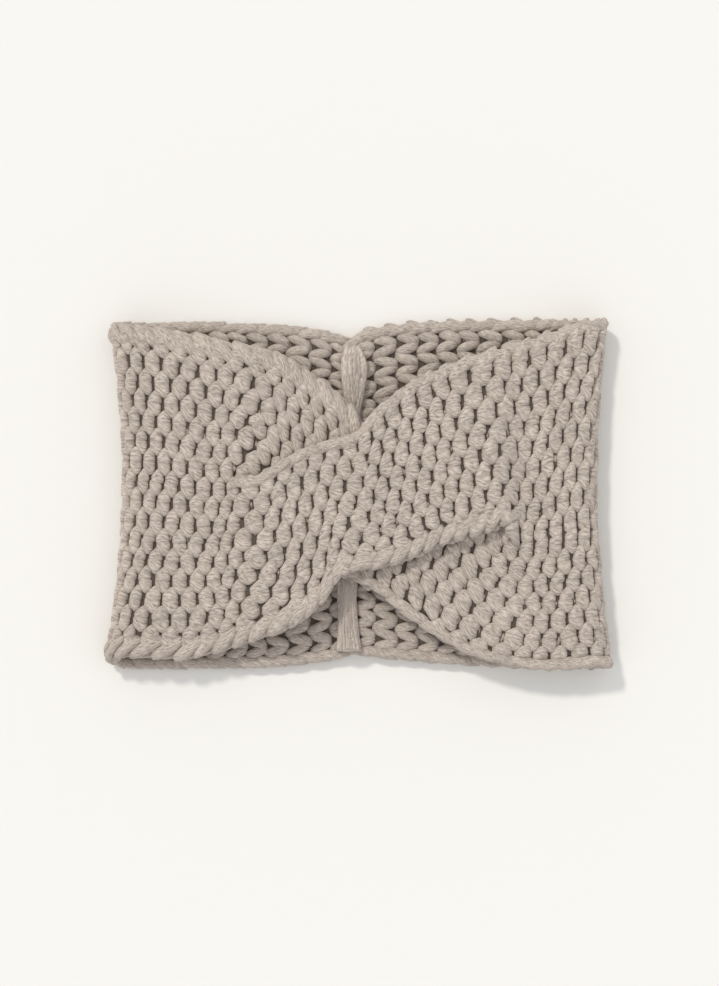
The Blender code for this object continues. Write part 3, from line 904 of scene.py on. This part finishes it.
def place_rope(strand, edge, start, end, arm, seed):
    """The lobes of the rope along one free edge of a strand."""
    rng = np.random.default_rng(seed)
    courses = np.arange(start, end, 1.0)
    count = len(courses)
    path = smooth_path(INNER_ARM + arm, ROPE_RINGS)
    way = 1.0 if edge else -1.0
    along = courses[:, None] + path[:, 0] + rng.normal(0, JITTER_PLACE, (count, 1))
    sideways = edge + way * (path[:, 1] + rng.normal(0, JITTER_PLACE / 2, (count, 1)))
    point, outward = strand.at(along, sideways)
    centres = point + outward * (path[:, 2] * MM)[:, None]
    side_hint = np.cross(outward[:, 0], centres[:, 2] - centres[:, 0])
    girth = path[:, 3] * (1 + rng.normal(0, JITTER_WIDTH, (count, 1)))
    side_way = square_to(side_hint, centres)
    return centres, side_way, ROPE_WIDTH * girth, ROPE_HEIGHT * girth, rng.random(count)


Rope = namedtuple("Rope", "name strand edge start end arm")
ROPES = (
    Rope("rope_low_left", over, 0, ROPE_START, over.right_split - ROPE_STOP, WIDE_ARM),
    Rope("rope_high_left", under, UNDER_COLUMNS, ROPE_START, under.right_split - ROPE_STOP, WIDE_ARM),
    Rope("rope_high_right", over, OVER_COLUMNS, over.left_split + ROPE_FROM_SPLIT,
         over.end - ROPE_TO_SEAM, SLIM_ARM),
    Rope("rope_low_right", under, 0, under.left_split + ROPE_FROM_SPLIT,
         under.end - ROPE_TO_SEAM, SLIM_ARM),
)
for number, rope in enumerate(ROPES):
    lobes = place_rope(rope.strand, rope.edge, rope.start, rope.end, rope.arm,
                       ROPE_SEED + number)
    mesh = yarn_mesh(rope.name, *lobes, YARN_SIDES)
    rest_on_floor(mesh)
    add_piece(rope.name, mesh, soft_roving)

# The seam roll that joins the strip's ends: the same wool rubbed into a soft roll along the
# inner side of the back, with its fibres drawn out lengthwise. Its colours are the yarn's made
# paler, as painted light that offsets the shade of the valley the roll lies in.
FELT_LIGHT = (0.74, 0.635, 0.55, 1.0)
FELT_DARK = (0.33, 0.27, 0.22, 1.0)
FELT_FIBRES = (0.50, 26.0, 1.0)
SEAM_WIDTH = 0.0140
SEAM_RISE = 0.0042
SEAM_CLEARANCE = 0.0003
SEAM_UNDERSIDE = 0.25
SEAM_BODY = 0.90
BODY_LEVEL = 0.35
BODY_HEIGHT = 0.55
BODY_TINT = 0.4
SEAM_SIDES = 24
SEAM_RINGS = 60
WISPS = 110
WISP_RINGS = 26
WISP_SIDES = 6
WISP_RADIUS = (0.00022, 0.00060)
WISP_LENGTH = (0.020, 0.075)
WISP_TURNS = (-0.02, 1.02)
WISP_SWAY = 0.16
WISP_WAVES = (9, 23)
SECOND_WAVE = 0.5
WISP_ENDS = (0.04, 0.96)
WISP_FLATNESS = 1.3
SEAM_SEED = 700
SeamSection = namedtuple("SeamSection", "y x width")
SEAM_ROLL = (
    SeamSection(-0.90, -0.040, 0.90),
    SeamSection(-0.80, -0.041, 0.72),
    SeamSection(-0.65, -0.045, 0.66),
    SeamSection(-0.45, -0.045, 0.80),
    SeamSection(-0.20, -0.040, 0.70),
    SeamSection(0.15, -0.030, 0.60),
    SeamSection(0.45, -0.022, 0.55),
    SeamSection(0.60, -0.018, 0.80),
    SeamSection(0.72, -0.017, 1.00),
    SeamSection(0.80, -0.020, 0.85),
    SeamSection(0.86, -0.025, 0.50),
)
seam_table = np.array([(row.x, row.width) for row in SEAM_ROLL])[:, None, :]
seam_knots = np.array([row.y for row in SEAM_ROLL])


def on_seam(y_shares, turns, depth):
    """Points of the roll's surface, scaled in to a share of its depth, with their outward way."""
    rows = smooth_along(seam_knots, seam_table, y_shares.ravel())[:, 0].reshape(y_shares.shape + (2,))
    half = rows[..., 1] * SEAM_WIDTH / 2 * depth
    rise = rows[..., 1] * SEAM_RISE * depth
    base = BACK_LEVEL + WALL / 2 + SEAM_CLEARANCE
    tall = np.where(np.sin(turns) > 0, rise, rise * SEAM_UNDERSIDE)
    x = rows[..., 0] * HALF_WIDTH + half * np.cos(turns)
    z = base + rows[..., 1] * SEAM_RISE * SEAM_UNDERSIDE + tall * np.sin(turns)
    points = np.stack([x, y_shares * HALF_STRIP, z], axis=-1)
    away = np.stack([np.cos(turns), np.zeros_like(turns), np.sin(turns)], axis=-1)
    return points, away


seam_y = np.linspace(seam_knots[0], seam_knots[-1], SEAM_RINGS)
body_centres, _ = on_seam(seam_y[None, :], np.full((1, SEAM_RINGS), np.pi / 2), BODY_LEVEL)
body_rows = smooth_along(seam_knots, seam_table, seam_y)[:, 0, 1]
body_widths = body_rows[None, :] * SEAM_WIDTH / 2 * SEAM_BODY
body_heights = body_rows[None, :] * SEAM_RISE * BODY_HEIGHT * SEAM_BODY
body_way = np.full((1, SEAM_RINGS, 3), (1.0, 0.0, 0.0))
seam_body = yarn_mesh("seam_body", body_centres, body_way, body_widths, body_heights,
                      np.array([BODY_TINT]), SEAM_SIDES)

rng = np.random.default_rng(SEAM_SEED)
wisp_y = rng.uniform(seam_knots[0], seam_knots[-1], WISPS)
wisp_length = rng.uniform(*WISP_LENGTH, WISPS) / HALF_STRIP
run = np.linspace(-0.5, 0.5, WISP_RINGS)
wisp_y = np.clip(wisp_y[:, None] + wisp_length[:, None] * run, seam_knots[0], seam_knots[-1])
wisp_turns = np.pi * rng.uniform(*WISP_TURNS, WISPS)[:, None]
phase = rng.uniform(0, 2 * np.pi, (WISPS, 2))
sway = np.sin(run * WISP_WAVES[0] + phase[:, :1])
sway += SECOND_WAVE * np.sin(run * WISP_WAVES[1] + phase[:, 1:])
wisp_centres, wisp_away = on_seam(wisp_y, wisp_turns + WISP_SWAY * sway, SEAM_BODY)
wisp_girth = np.sin(np.pi * np.linspace(*WISP_ENDS, WISP_RINGS)) ** 0.5
wisp_radius = rng.uniform(*WISP_RADIUS, WISPS)[:, None] * wisp_girth
wisp_hint = np.cross(wisp_away[:, 0], wisp_centres[:, -1] - wisp_centres[:, 0] + (0, MM, 0))
wisp_way = square_to(wisp_hint, wisp_centres)
seam_wisps = yarn_mesh("seam_wisps", wisp_centres, wisp_way, wisp_radius * WISP_FLATNESS,
                       wisp_radius, rng.random(WISPS), WISP_SIDES)
# The felt's material: the wool with its fibres drawn out lengthwise, made paler as painted light
# against the valley's shade.
felt_with_painted_light = wool_material("felt_with_painted_light", FELT_DARK, FELT_LIGHT, FELT_FIBRES)
seam_roll = add_piece("seam_roll", seam_body, felt_with_painted_light)
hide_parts("back_seam")
add_piece("seam_wisps", seam_wisps, felt_with_painted_light)
